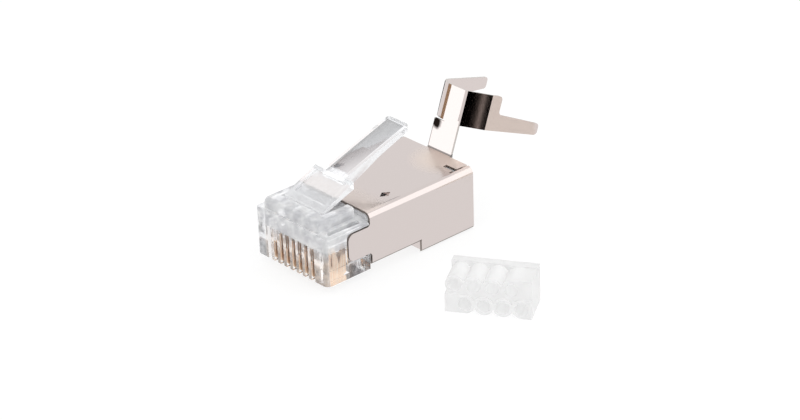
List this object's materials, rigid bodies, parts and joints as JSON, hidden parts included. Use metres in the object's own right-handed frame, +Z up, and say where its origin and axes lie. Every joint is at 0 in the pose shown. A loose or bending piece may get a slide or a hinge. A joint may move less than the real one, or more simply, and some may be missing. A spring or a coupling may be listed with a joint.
{
  "type": "shielded modular plug",
  "caption": "Shielded eight-way modular data plug with clear latching nose, folded metal shield, fold-down crimp tail and a separate wire guide.",
  "frame": {"origin": "middle of the lower edge of the nose's front face", "axes": "+Y from the nose back to the cable end, +X across the plug, +Z up towards the latch; contacts face down"},
  "size_m": [0.0305, 0.0337, 0.0145],
  "materials": {
    "clear_moulding": "clear polycarbonate, polished mould",
    "gold_blade": "gold plated, bright",
    "nickel_sheet": "nickel plated sheet, satin bright",
    "guide_moulding": "translucent natural plastic"
  },
  "bodies": {
    "plug": {"housing": "clear_moulding", "contact_1": "gold_blade", "contact_2": "gold_blade", "contact_3": "gold_blade", "contact_4": "gold_blade", "contact_5": "gold_blade", "contact_6": "gold_blade", "contact_7": "gold_blade", "contact_8": "gold_blade", "shield": "nickel_sheet", "wire_guide": "guide_moulding"},
    "latch_arm": {"latch": "clear_moulding"},
    "tail": {"crimp_tail": "nickel_sheet"}
  },
  "joints": [
    {"name": "latch_flex", "type": "hinge", "parent": "plug", "child": "latch_arm", "pos_m": [0, 0.00205, 0.00685], "axis": [1, 0, 0], "range_deg": [-13.5, 0], "stiffness_Nm_per_rad": 0.3},
    {"name": "tail_fold", "type": "hinge", "parent": "plug", "child": "tail", "pos_m": [0.00025, 0.0216, 0.00646], "axis": [1, 0, 0], "range_deg": [-42, 20]}
  ]
}
